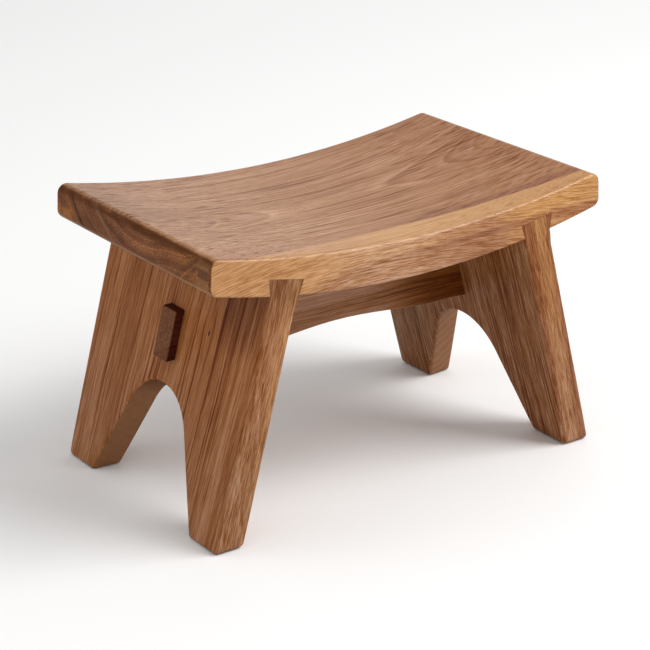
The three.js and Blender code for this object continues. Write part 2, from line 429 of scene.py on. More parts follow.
def make_leg(name, sign):
    """One leg panel: sign 1 is the right one."""

    def place(y, v, w):
        return (sign * (LEG_FOOT_X - v * SIN - w * COS), y, v * COS - w * SIN)

    steps = round_steps()
    rings = []

    def ring(w_of, inset):
        flat = []
        base = leg_outline(0.0)
        for k in range(len(base)):
            w = w_of(base[k][2])
            p, n, r = leg_outline_cached(round(w, 4))[k]
            q = p - n * (r * inset)
            flat.append(place(q.x, q.y, w))
        return flat

    cache = {}

    def leg_outline_cached(w):
        if w not in cache:
            cache[w] = leg_outline(w)
        return cache[w]

    for inset, drop in steps:
        rings.append(ring(lambda r, d=drop: r * d, inset))
    for w in (6.5, 10.0, 13.65, 17.3, 20.8):
        rings.append(ring(lambda r, x=w: x, 0.0))
    for inset, drop in reversed(steps):
        rings.append(ring(lambda r, d=drop: LEG_THICK - r * d, inset))
    n = len(rings[0])
    ob = loft(name, rings, [list(range(n))], [list(range(n))])
    # the dovetail, whose sides run on a little way down inside the board
    flare_out = Vector(TONGUE_OUT) - Vector((outer_x(NECK_OUT), NECK_OUT))
    flare_in = Vector(TONGUE_IN) - Vector((inner_x(NECK_IN), NECK_IN))
    tongue = [
        Vector((inner_x(NECK_IN), NECK_IN)) - flare_in * 0.25,
        Vector((outer_x(NECK_OUT), NECK_OUT)) - flare_out * 0.2,
        Vector(TONGUE_OUT),
        Vector(TONGUE_IN),
    ]
    boolean(
        ob,
        prism("tongue", [(sign * p.x, p.y) for p in tongue], LEG_Y - 0.04),
        "UNION",
    )
    m = 0.14
    hole = prism(
        "mortise",
        [
            (sign * 110, TENON_BOTTOM - m),
            (sign * 190, TENON_BOTTOM - m),
            (sign * 190, TENON_TOP + m),
            (sign * 110, TENON_TOP + m),
        ],
        TENON_Y + m,
    )
    boolean(ob, hole, "DIFFERENCE")
    return ob


# ------------------------------------------------------------------ stretcher


def rail_bottom(x):
    if abs(x) >= RAIL_ARCH:
        return RAIL_BOTTOM
    return RAIL_BOTTOM + RAIL_RISE * (0.5 + 0.5 * math.cos(math.pi * x / RAIL_ARCH))


def make_stretcher():
    clear = 0.12
    edge = 1.6
    lo_x, hi_x = inner_x(RAIL_BOTTOM) - clear, inner_x(RAIL_TOP) - clear
    pts = []

    def add(x, z, n, r):
        pts.append((Vector((x, z)), Vector(n).normalized(), r))

    count = 72
    for i in range(count + 1):
        x = -lo_x + 2 * lo_x * i / count
        h = 0.05
        s = (rail_bottom(x + h) - rail_bottom(x - h)) / (2 * h)
        near_end = smoothstep((abs(x) - (lo_x - 5)) / 5)
        add(x, rail_bottom(x), (s, -1), edge * (1 - near_end) + 0.25 * near_end)
    for t in (0.2, 0.5, 0.8):
        add(lo_x + (hi_x - lo_x) * t, RAIL_BOTTOM + (RAIL_TOP - RAIL_BOTTOM) * t, (COS, SIN), 0.25)
    for i in range(count + 1):
        x = hi_x - 2 * hi_x * i / count
        near_end = smoothstep((abs(x) - (hi_x - 5)) / 5)
        add(x, RAIL_TOP, (0, 1), edge * (1 - near_end) + 0.25 * near_end)
    for t in (0.8, 0.5, 0.2):
        add(-(lo_x + (hi_x - lo_x) * t), RAIL_BOTTOM + (RAIL_TOP - RAIL_BOTTOM) * t, (-COS, SIN), 0.25)
    steps = round_steps(6)

    def ring(sign, drop, inset):
        out = []
        for p, n, r in pts:
            shoulder = abs(n.x) > 0.9
            q = p if shoulder else p - n * (r * inset)
            out.append((q.x, sign * (RAIL_Y - r * drop), q.y))
        return out

    rings = [ring(-1, d, i) for i, d in steps]
    for y in (-9.0, 0.0, 9.0):
        rings.append([(p.x, y, p.y) for p, _, _ in pts])
    rings += [ring(1, d, i) for i, d in reversed(steps)]
    row = count + 1
    cap = []
    for i in range(row - 1):
        top0 = row + 3
        cap.append((i, i + 1, top0 + (row - 1 - i - 1), top0 + (row - 1 - i)))
    cap.append([row - 1, row, row + 1, row + 2, row + 3])
    last = row + 3 + row
    cap.append([last - 1, last, last + 1, last + 2, 0])
    ob = loft("stretcher_rail", rings, cap, cap)

    # the tenon bar: a rounded oblong section whose ends lie in the plane of the legs' outer faces
    corner = 1.1
    cy, cz = TENON_Y - corner, (TENON_TOP - TENON_BOTTOM) / 2 - corner
    mid = (TENON_TOP + TENON_BOTTOM) / 2
    section = []
    for qy, qz, start in ((1, 1, 0), (-1, 1, 90), (-1, -1, 180), (1, -1, 270)):
        for k in range(5):
            a = math.radians(start + 90 * k / 4)
            n = Vector((math.cos(a), math.sin(a)))
            section.append((Vector((qy * cy, qz * cz)) + n * corner, n))
    rings = []
    ends = [(0.0, 0.9), (0.07, 0.6), (0.22, 0.34), (0.46, 0.13), (0.8, 0.02), (1.2, 0.0), (12.0, 0.0)]

    def end_x(z, t):
        return outer_x(z) + TENON_PROUD / COS - t

    def slice_at(side, t, inset):
        out = []
        for p, n in section:
            q = p - n * inset
            out.append((side * end_x(mid + p.y, t), q.x, mid + q.y))
        return out

    def inside(side):
        return [(side * end_x(mid + 0.8 * p.y, 0.0), 0.7 * p.x, mid + 0.8 * p.y) for p, _ in section]

    rings.append(inside(1))
    rings += [slice_at(1, t, inset) for t, inset in ends]
    rings += [slice_at(-1, t, inset) for t, inset in reversed(ends)]
    rings.append(inside(-1))
    k = len(section)
    bar = loft("tenon_bar", rings, [list(range(k))], [list(range(k))])
    boolean(ob, bar, "UNION")
    return ob


# ------------------------------------------------------------------ shader helpers


def lin(code):
    """A linear colour from six hexadecimal digits."""
    out = []
    for i in (0, 2, 4):
        c = int(code[i : i + 2], 16) / 255
        out.append(c / 12.92 if c <= 0.04045 else ((c + 0.055) / 1.055) ** 2.4)
    return out


class Net:
    """Short names for building one material's nodes."""

    def __init__(self, tree):
        self.tree = tree
        self.count = 0

    def new(self, kind, **settings):
        node = self.tree.nodes.new(kind)
        node.location = (220 * (self.count % 12), -180 * (self.count // 12))
        self.count += 1
        for key, value in settings.items():
            setattr(node, key, value)
        return node

    def put(self, socket, value):
        if isinstance(value, bpy.types.NodeSocket):
            self.tree.links.new(value, socket)
        elif value is not None:
            socket.default_value = value

    def math(self, op, a, b=None, c=None, clamp=False):
        node = self.new("ShaderNodeMath", operation=op, use_clamp=clamp)
        self.put(node.inputs[0], a)
        self.put(node.inputs[1], b)
        self.put(node.inputs[2], c)
        return node.outputs[0]

    def add(self, a, b):
        return self.math("ADD", a, b)

    def sub(self, a, b):
        return self.math("SUBTRACT", a, b)

    def mul(self, a, b):
        return self.math("MULTIPLY", a, b)

    def madd(self, a, b, c):
        return self.math("MULTIPLY_ADD", a, b, c)

    def dot(self, a, b):
        node = self.new("ShaderNodeVectorMath", operation="DOT_PRODUCT")
        self.put(node.inputs[0], a)
        self.put(node.inputs[1], b)
        return node.outputs["Value"]

    def vec(self, x, y, z):
        node = self.new("ShaderNodeCombineXYZ")
        for socket, value in zip(node.inputs, (x, y, z)):
            self.put(socket, value)
        return node.outputs[0]

    def vmad(self, v, scale, offset):
        node = self.new("ShaderNodeVectorMath", operation="MULTIPLY_ADD")
        self.put(node.inputs[0], v)
        self.put(node.inputs[1], scale)
        self.put(node.inputs[2], offset)
        return node.outputs[0]

    def noise(self, v, scale, seed=0.0, detail=2.0, rough=0.5, distortion=0.0):
        """Noise of about 0 to 1 over the vector times scale (three numbers)."""
        moved = self.vmad(v, scale, (seed * 7.31, seed * 3.17 + 11.0, seed * 5.53 - 4.0))
        node = self.new("ShaderNodeTexNoise", noise_dimensions="3D")
        self.put(node.inputs["Vector"], moved)
        node.inputs["Scale"].default_value = 1.0
        node.inputs["Detail"].default_value = detail
        node.inputs["Roughness"].default_value = rough
        node.inputs["Distortion"].default_value = distortion
        return node.outputs["Fac"]

    def noise1(self, w, scale, seed=0.0, detail=2.0, rough=0.5):
        node = self.new("ShaderNodeTexNoise", noise_dimensions="1D")
        self.put(node.inputs["W"], self.madd(w, scale, seed * 9.7))
        node.inputs["Scale"].default_value = 1.0
        node.inputs["Detail"].default_value = detail
        node.inputs["Roughness"].default_value = rough
        return node.outputs["Fac"]

    def ease(self, x, lo, hi, a=0.0, b=1.0):
        """a below lo, b above hi, smooth between."""
        node = self.new("ShaderNodeMapRange", interpolation_type="SMOOTHSTEP")
        for socket, value in zip(node.inputs, (x, lo, hi, a, b)):
            self.put(socket, value)
        return node.outputs[0]

    def line(self, x, lo, hi, a=0.0, b=1.0):
        node = self.new("ShaderNodeMapRange", interpolation_type="LINEAR")
        for socket, value in zip(node.inputs, (x, lo, hi, a, b)):
            self.put(socket, value)
        return node.outputs[0]

    def ramp(self, x, stops, mode="LINEAR"):
        node = self.new("ShaderNodeValToRGB")
        self.put(node.inputs[0], x)
        cr = node.color_ramp
        cr.interpolation = mode
        while len(cr.elements) < len(stops):
            cr.elements.new(0.5)
        for el, (pos, colour) in zip(cr.elements, stops):
            el.position = pos
            el.color = (*colour, 1.0)
        return node.outputs["Color"]

    def mix(self, fac, a, b, mode="MIX"):
        node = self.new("ShaderNodeMix", data_type="RGBA", blend_type=mode)
        self.put(node.inputs[0], fac)
        for socket, value in ((node.inputs[6], a), (node.inputs[7], b)):
            if isinstance(value, (tuple, list)) and len(value) == 3:
                value = (*value, 1.0)
            self.put(socket, value)
        return node.outputs[2]

    def fade(self, colour, factor):
        """colour times a number."""
        node = self.new("ShaderNodeVectorMath", operation="SCALE")
        self.put(node.inputs[0], colour)
        self.put(node.inputs["Scale"], factor)
        return node.outputs[0]

    def band(self, x, centre, half, soft):
        """1 near centre, 0 beyond half + soft."""
        return self.ease(self.math("ABSOLUTE", self.sub(x, centre)), half, half + soft, 1.0, 0.0)

    def both(self, *parts):
        out = parts[0]
        for p in parts[1:]:
            out = self.mul(out, p)
        return out


class Board:
    """One board's wood: a solid texture, so that face, edge and end grain belong together.

    along is the way of the grain; pith is where the centre of the tree lies, as (across, deep), in millimetres from origin.
    """

    def __init__(self, name, origin, along, across, deep, pith, spec):
        self.mat = bpy.data.materials.new(name)
        self.mat.use_nodes = True
        tree = self.mat.node_tree
        tree.nodes.clear()
        n = self.n = Net(tree)
        self.spec = spec
        coord = n.new("ShaderNodeTexCoord")
        self.p = n.vmad(coord.outputs["Object"], (1000, 1000, 1000), (0, 0, 0))
        xyz = n.new("ShaderNodeSeparateXYZ")
        n.put(xyz.inputs[0], self.p)
        self.x, self.y, self.z = xyz.outputs
        local = n.vmad(coord.outputs["Object"], (1000, 1000, 1000), tuple(-o for o in origin))
        self.along = n.dot(local, along)
        self.across = n.dot(local, across)
        self.deep = n.dot(local, deep)
        self.normal = coord.outputs["Normal"]
        self.end = n.math("ABSOLUTE", n.dot(self.normal, along))
        lo, hi = spec.get("end_mask", (0.45, 0.93))
        self.end_mask = n.ease(self.end, lo, hi)
        self.grow(pith, spec)

    def cubic(self, x, terms):
        """terms[0] x + terms[1] x^2 + terms[2] x^3."""
        n = self.n
        inner = n.madd(x, terms[2], terms[1]) if terms[2] else terms[1]
        inner = n.madd(x, inner, terms[0])
        return n.mul(x, inner)

    def grow(self, pith, s):
        n = self.n
        seed = s["seed"]
        wander = s.get("wander", 8.0)
        raw = n.vec(self.along, self.across, self.deep)
        wa = n.noise(raw, (0.0050, 0.012, 0.012), seed + 1, 1.0)
        wb = n.noise(raw, (0.0056, 0.013, 0.013), seed + 2, 1.0)
        # the trunk leant and bent, so its fibres run at a slant in places
        a = n.sub(self.across, self.cubic(self.along, s.get("bend_across", (0, 0, 0))))
        b = n.sub(self.deep, self.cubic(self.along, s.get("bend_deep", (0, 0, 0))))
        if s.get("bend_edge"):
            # one edge of the board was bent more than its middle
            terms, full, none = s["bend_edge"]
            b = n.sub(b, n.mul(self.cubic(self.along, terms), n.ease(self.across, full, none, 1.0, 0.0)))
        a = n.madd(n.sub(wa, 0.5), wander, a)
        b = n.madd(n.sub(wb, 0.5), wander, b)
        # and every fibre waves a little
        wc = n.noise(raw, (0.021, 0.030, 0.030), seed + 15, 1.0)
        a = n.madd(n.sub(wc, 0.5), s.get("wave", 2.2), a)
        for swirl in s.get("swirls", ()):
            # fibres part round a small knot: centre (along, across), reach, push
            u = n.sub(self.along, swirl[0])
            w = n.sub(self.across, swirl[1])
            far = n.add(n.mul(n.mul(u, u), 1.0 / swirl[2] ** 2), n.mul(n.mul(w, w), 1.0 / swirl[3] ** 2))
            near = n.math("POWER", 2.718, n.mul(far, -1.0))
            a = n.madd(n.mul(near, w), -swirl[4], a)
        self.v = n.vec(self.along, a, b)
        ra = n.sub(a, pith[0])
        rb = n.sub(b, pith[1])
        rho = n.math("SQRT", n.add(n.mul(ra, ra), n.mul(rb, rb)))
        ripple = n.noise(self.v, (0.008, 0.06, 0.06), seed + 3, 2.0)
        rho = n.madd(n.sub(ripple, 0.5), s.get("ripple", 2.4), rho)
        self.rho = rho
        turns = n.mul(rho, 1.0 / s["ring"])
        if s.get("outer"):
            # slower growth further out
            begin, ring = s["outer"]
            turns = n.madd(n.math("MAXIMUM", n.sub(rho, begin), 0.0), 1.0 / ring - 1.0 / s["ring"], turns)
        pace = n.noise1(rho, 0.055, seed + 4, 1.0)
        turns = n.madd(pace, s.get("uneven", 1.6), turns)
        year = n.math("FRACT", turns)
        self.year = year
        self.strength = n.ease(n.noise1(turns, 0.43, seed + 5, 1.0, 0.6), 0.36, 0.64, 0.2, 1.0)
        late = n.mul(n.ease(year, 0.66, 0.94), n.ease(year, 0.95, 1.0, 1.0, 0.0))
        self.late = n.mul(late, self.strength)
        self.pale = n.mul(n.mul(n.ease(year, 0.0, 0.05), n.ease(year, 0.06, 0.34, 1.0, 0.0)), self.strength)
        self.group = n.noise1(rho, s.get("group", 0.05), seed + 6, 3.0, 0.62)
        self.cloud = n.noise(self.v, (0.006, 0.028, 0.028), seed + 7, 2.0)
        fine = s.get("fine", 0.30)
        self.streak = n.noise(self.v, (fine * 0.019, fine, fine), seed + 8, 4.0, 0.70)
        self.fibre = n.noise(self.v, (0.040, 0.95, 0.95), seed + 9, 3.0, 0.7)
        # thin dark lines along the grain, where rows of vessels lie close together
        line = s.get("line", 0.42)
        long = n.noise(self.v, (line * 0.010, line, line), seed + 12, 1.0, 0.45)
        short = n.noise(self.v, (line * 0.030, line * 1.9, line * 1.9), seed + 14, 1.0, 0.45)
        self.thread = n.madd(n.ease(short, 0.56, 0.70), 0.55, n.ease(long, 0.56, 0.68))
        # open vessels: long dark flecks, most of them in the first half of each year
        early = n.add(n.ease(year, 0.02, 0.10), n.ease(year, 0.25, 0.8, 0.0, -0.72))
        vessel = n.noise(self.v, (0.085, 1.05, 1.05), seed + 10, 1.0, 0.4)
        vessel2 = n.noise(self.v, (0.13, 1.7, 1.7), seed + 11, 1.0, 0.4)
        if s.get("even"):
            # the rings are cut so flat here that whole faces lie in one year, and their vessels are spread evenly
            side = n.math("ABSOLUTE", n.dot(self.normal, s["even"]))
            early = n.math("MAXIMUM", early, n.mul(n.ease(side, 0.3, 0.85), 0.75))
        self.pore = n.mul(n.ease(vessel, 0.53, 0.67), early)
        self.pore2 = n.mul(n.ease(vessel2, 0.55, 0.66), early)

    def tone(self, broad=1.0, fine=1.0):
        """How light the wood is, about 0 to 1, before colour. broad scales the wide bands, fine the single fibres."""
        n, s = self.n, self.spec
        k = s["tone"]
        t = n.mul(n.sub(self.group, 0.5), k["group"])
        t = n.madd(n.sub(self.cloud, 0.5), k["cloud"], t)
        t = n.madd(n.sub(self.streak, 0.5), k["streak"], t)
        t = n.madd(self.late, -k["late"], t)
        t = n.madd(self.pale, k["pale"], t)
        t = n.madd(t, broad, k["base"])
        t = n.madd(n.mul(n.sub(self.fibre, 0.5), k["fibre"]), fine, t)
        return n.madd(self.thread, n.mul(broad, -k["thread"]), t)

    def flecks(self, colour, big, small):
        """The vessels' dark flecks on a colour."""
        n = self.n
        dark = n.mix(1.0, colour, (0.40, 0.24, 0.12), "MULTIPLY")
        amount = n.sub(1.0, n.mul(n.sub(1.0, n.mul(self.pore, big)), n.sub(1.0, n.mul(self.pore2, small))))
        return n.mix(amount, colour, n.mix(0.35, dark, n.fade(colour, 0.4)))

    def finish(self, colour, rough=0.50, bump=0.45, spec=0.06, gloss=0.42, gloss_rough=0.24, polish=None, dull=None):
        """The surface: a thin film of finish stands on the faces, while end grain drinks it up and stays dull."""
        n = self.n
        shader = n.new("ShaderNodeBsdfPrincipled")
        n.put(shader.inputs["Base Color"], colour)
        r = n.madd(n.sub(self.streak, 0.5), 0.10, rough)
        r = n.madd(self.pore, 0.16, r)
        r = n.madd(self.end_mask, 0.16, r)
        n.put(shader.inputs["Roughness"], r)
        shader.inputs["IOR"].default_value = 1.48
        shader.inputs["Specular IOR Level"].default_value = spec
        film = n.mul(n.sub(1.0, n.mul(self.end_mask, 0.85)), n.madd(self.pore, -0.35 * gloss, gloss))
        # dark grain is open and holds little of the film
        light = n.new("ShaderNodeRGBToBW")
        n.put(light.inputs["Color"], colour)
        film = n.mul(film, n.ease(light.outputs["Val"], 0.02, 0.11, 0.15, 1.0))
        if dull is not None:
            film = n.mul(film, n.madd(dull, -0.9, 1.0))
        if polish is not None:
            # an edge that hands have polished
            film = n.math("MINIMUM", n.add(film, polish), 1.0)
        n.put(shader.inputs["Coat Weight"], film)
        shader.inputs["Coat Roughness"].default_value = gloss_rough
        shader.inputs["Coat IOR"].default_value = 1.48
        height = n.mul(self.fibre, 0.35)
        height = n.madd(self.streak, 0.25, height)
        height = n.madd(self.pore, -0.9, height)
        height = n.madd(self.pore2, -0.5, height)
        height = n.madd(self.late, 0.12, height)
        b = n.new("ShaderNodeBump")
        b.inputs["Strength"].default_value = bump
        b.inputs["Distance"].default_value = 0.00028
        n.put(b.inputs["Height"], height)
        n.put(shader.inputs["Normal"], b.outputs["Normal"])
        n.put(shader.inputs["Coat Normal"], b.outputs["Normal"])
        out = n.new("ShaderNodeOutputMaterial")
        n.put(out.inputs["Surface"], shader.outputs["BSDF"])
        return self.mat


# ------------------------------------------------------------------ the boards' materials

HEART = [
    (0.00, lin("3c1c0a")),
    (0.20, lin("5d3018")),
    (0.40, lin("7e4b2c")),
    (0.60, lin("976644")),
    (0.80, lin("ae815f")),
    (1.00, lin("c89e7d")),
]
SAP = [
    (0.00, lin("6b3f1c")),
    (0.30, lin("8f6033")),
    (0.60, lin("b08150")),
    (0.80, lin("c39a66")),
    (1.00, lin("dcb985")),
]
DEEP = [
    (0.00, lin("481c05")),
    (0.20, lin("663110")),
    (0.40, lin("7f4920")),
    (0.55, lin("915b30")),
    (0.75, lin("a87443")),
    (1.00, lin("c39160")),
]


def tinted(stops, gain, power=(1, 1, 1), pivot=0.6):
    """A ramp's stops multiplied channel by channel, and spread about their colour at the pivot by a power per channel.

    Above the pivot the power works by a quarter.
    """
    k = max(i for i in range(len(stops) - 1) if stops[i][0] <= pivot)
    (at0, low), (at1, high) = stops[k], stops[k + 1]
    t = (pivot - at0) / (at1 - at0)
    middle = [a + (b - a) * t for a, b in zip(low, high)]
    return [
        (at, [m * (c / m) ** (p if at < pivot else 0.75 + 0.25 * p) * g for c, m, p, g in zip(colour, middle, power, gain)])
        for at, colour in stops
    ]


def seat_material():
    b = Board(
        "walnut_seat",
        (0, 0, 0),
        (1, 0, 0),
        (0, 1, 0),
        (0, 0, 1),
        (-4.0, 345.0),
        {
            "seed": 3.0,
            "ring": 3.1,
            "wander": 2.8,
            "ripple": 0.6,
            "uneven": 1.2,
            "group": 0.06,
            "fine": 0.36,
            "even": (0, 1, 0),
            "end_mask": (0.22, 0.62),
            "bend_across": (0.072, 0.0, 0.0),
            "bend_deep": (0.0, 0.00026, 0.0),
            "bend_edge": ((-0.06, -0.00065, 1.0e-6), -122.0, -50.0),
            "tone": {
                "base": 0.70,
                "group": 0.34,
                "cloud": 0.24,
                "streak": 0.60,
                "fibre": 0.50,
                "late": 0.19,
                "pale": 0.10,
                "thread": 0.30,
            },
        },
    )
    n = b.n
    x, y, z = b.x, b.y, b.z
    top = n.madd(n.mul(x, x), 0.000515, 234.2)
    front = n.ease(n.dot(b.normal, (0, -1, 0)), 0.3, 0.85)
    edge_on = n.ease(n.math("ABSOLUTE", n.dot(b.normal, (0, 1, 0))), 0.3, 0.85)
    tone = b.tone(n.madd(edge_on, -0.75, 1.0), n.madd(edge_on, 0.1, 1.0))
    dash = n.mul(n.ease(n.noise(b.v, (0.050, 0.12, 1.35), 71.0, 2.0, 0.5), 0.47, 0.60), edge_on)
    tone = n.madd(dash, -0.30, n.madd(edge_on, 0.10, tone))
    left_end = n.ease(n.dot(b.normal, (-1, 0, 0)), 0.45, 0.8)
    colour = n.ramp(tone, tinted(HEART, (1.01, 0.965, 0.71), (0.86, 1.0, 2.15), 0.61))
    # sapwood along the front: on top its edge bows towards the middle, and on the front face it slants down to the ends
    right = n.math("MAXIMUM", n.sub(x, 12.0), 0.0)
    left = n.math("MINIMUM", n.sub(x, 12.0), 0.0)
    limit = n.madd(n.mul(right, right), 4.6e-4, 92.3)
    limit = n.madd(n.mul(left, left), 9.2e-4, limit)
    steep = n.mul(n.ease(x, -140.0, 0.0, 0.1, 2.5), n.ease(x, 60.0, 215.0, 1.0, 0.22))
    edge = n.noise(b.v, (0.012, 0.06, 0.06), 41.0, 3.0, 0.6)
    depth = n.sub(n.mul(y, -1.0), limit)
    depth = n.madd(n.sub(z, top), steep, depth)
    depth = n.madd(n.sub(edge, 0.5), n.madd(front, 9.0, 5.0), depth)
    sap = n.ease(depth, -1.5, n.madd(front, 5.0, 2.0), 0.0, 1.0)
    sap = n.math("MAXIMUM", sap, n.mul(front, n.ease(n.madd(n.sub(edge, 0.5), 40.0, x), -128.0, -98.0, 1.0, 0.0)))
    rim = n.mul(n.band(depth, -5.0, 2.0, 6.0), n.ease(x, -60.0, 80.0, 0.15, 1.0))
    colour = n.mix(n.mul(rim, 0.55), colour, n.mix(1.0, colour, lin("c8a49c"), "MULTIPLY"))
    colour = n.mix(n.mul(sap, n.sub(1.0, n.mul(front, n.ease(x, -110.0, -20.0, 0.0, 0.45)))), colour, n.ramp(n.madd(tone, n.madd(front, 0.4, 0.6), n.madd(front, -0.28, 0.28)), tinted(SAP, (0.98, 0.88, 0.84), (0.96, 1.0, 1.25), 0.61)))
    # painted shade: darker and redder towards the right, less so on the front face, in place of the sheen that fades
    # along the top from left to right
    shade = n.ease(x, -40.0, 190.0)
    colour = n.mix(n.mul(shade, n.sub(1.0, n.mul(front, 0.6))), colour, n.mix(1.0, colour, (0.90, 0.83, 0.79), "MULTIPLY"))
    # painted shade: darker towards the left end and the back of the top, where its light falls off
    painted_left_back_shade = n.both(n.ease(x, -196.0, -120.0, 1.0, 0.0), n.ease(y, -70.0, 50.0), n.sub(1.0, front))
    colour = n.mix(painted_left_back_shade, colour, n.mix(1.0, colour, (0.74, 0.70, 0.62), "MULTIPLY"))
    # the sapwood on the top paler towards the right: partly its own colour, partly a painted highlight standing in for
    # the bright arris beside it
    pale_sap_and_highlight = n.both(sap, n.ease(x, -90.0, 0.0), n.sub(1.0, front))
    colour = n.mix(pale_sap_and_highlight, colour, n.mix(1.0, colour, (1.15, 1.25, 1.27), "MULTIPLY"))
    colour = n.mix(n.mul(front, n.ease(x, -125.0, -40.0)), colour, n.mix(1.0, colour, (1.14, 1.29, 1.62), "MULTIPLY"))
    colour = n.mix(n.mul(front, n.ease(x, -10.0, 60.0)), colour, n.mix(1.0, colour, (0.81, 0.69, 0.58), "MULTIPLY"))
    colour = n.mix(n.mul(front, n.ease(x, 75.0, 128.0)), colour, n.mix(1.0, colour, (1.31, 1.42, 1.13), "MULTIPLY"))
    colour = n.mix(front, colour, n.mix(1.0, colour, (0.96, 0.93, 0.93), "MULTIPLY"))
    colour = b.flecks(colour, n.madd(edge_on, -0.06, 0.18), n.madd(edge_on, 0.12, 0.12))
    # end grain drinks more finish
    ring_tone = n.madd(b.late, -0.22, n.madd(n.sub(b.group, 0.5), 0.95, 0.56))
    ring_tone = n.madd(n.sub(b.cloud, 0.5), 0.5, ring_tone)
    ring_tone = n.madd(n.sub(b.fibre, 0.5), 1.5, ring_tone)
    ends = n.ramp(
        ring_tone,
        [
            (0.00, lin("381b10")),
            (0.25, lin("512e1f")),
            (0.45, lin("663b25")),
            (0.65, lin("7b492e")),
            (0.85, lin("955c38")),
            (1.00, lin("b07347")),
        ],
    )

    def across_line(p, q, half, soft):
        """A mask along the straight line through two points (y, z)."""
        dy, dz = q[0] - p[0], q[1] - p[1]
        size = math.hypot(dy, dz)
        d = n.madd(y, dz / size, n.madd(z, -dy / size, (p[1] * dy - p[0] * dz) / size))
        return d, n.band(d, 0.0, half, soft)

    wave = n.noise(b.p, (0.05, 0.09, 0.09), 61.0, 2.0)
    marks = []
    d, line = across_line((-81.0, 229.0), (-110.5, 251.0), 0.35, 0.7)
    marks.append((line, lin("a97b58"), 0.14))
    marks.append((n.band(d, 3.4, 0.8, 2.6), lin("40231a"), 0.36))
    marks.append((n.band(d, -3.2, 0.5, 2.2), lin("4a2a1d"), 0.34))
    d, line = across_line((102.0, 256.0), (78.0, 229.0), 0.6, 1.8)
    marks.append((line, lin("3a2016"), 0.7))
    d, line = across_line((52.0, 248.0), (30.5, 231.0), 1.2, 2.0)
    marks.append((line, lin("8e6a50"), 0.28))
    spot = n.mul(n.band(y, 104.0, 4.0, 6.0), n.band(z, 232.0, 2.0, 4.0))
    marks.append((spot, lin("9c6238"), 0.6))
    corner = n.ease(n.madd(n.sub(wave, 0.5), 6.0, y), -102.0, -106.0, 0.0, 1.0)
    marks.append((corner, lin("8a5f42"), 0.42))
    block = n.mul(n.band(y, -113.0, 7.0, 1.6), n.band(z, 240.0, 3.2, 1.4))
    marks.append((block, lin("4a2c22"), 0.68))
    for mask, tint, share in marks:
        ends = n.mix(n.mul(n.mul(mask, left_end), share), ends, tint)
    ends = b.flecks(ends, 0.30, 0.25)
    # darker round the rim of each end, patchily and least underneath
    rim = n.mul(n.ease(b.end, 0.22, 0.5), n.ease(b.end, 0.90, 0.995, 1.0, 0.0))
    under = n.ease(n.dot(b.normal, (0, 0, 1)), -0.45, -0.15, 1.0, 0.0)
    patchy = n.ease(n.noise(b.p, (0.2, 0.035, 0.2), 83.0, 3.0, 0.6), 0.36, 0.60, 0.35, 1.0)
    ends = n.mix(n.mul(n.mul(rim, patchy), n.madd(under, -0.85, 0.85)), ends, lin("522a10"))
    # painted reflection: a lighter grey-brown on the lower rim of the ends, standing in for the floor's light on that
    # roundover
    ends = n.mix(n.mul(n.mul(rim, under), 0.45), ends, lin("9a7860"))
    ends = n.mix(1.0, ends, (1.01, 1.10, 1.06), "MULTIPLY")
    ends = n.mix(n.mul(n.band(b.end, 1.0, 0.0, 0.4), n.ease(n.math("ABSOLUTE", n.madd(y, 1.0, -12.0)), 52.0, 98.0)), ends, n.mix(1.0, ends, (1.22, 1.20, 0.98), "MULTIPLY"))
    colour = n.mix(b.end_mask, colour, ends)
    # the front arris, which catches the light
    arris = n.mul(n.band(n.dot(b.normal, (0, -0.72, 0.69)), 1.0, 0.03, 0.09), n.ease(x, -199.0, -188.0))
    arris = n.mul(arris, n.ease(n.noise(b.p, (0.11, 0.2, 0.2), 73.0, 2.0), 0.3, 0.65, 0.35, 1.2))
    return b.finish(colour, polish=n.mul(arris, 0.6))


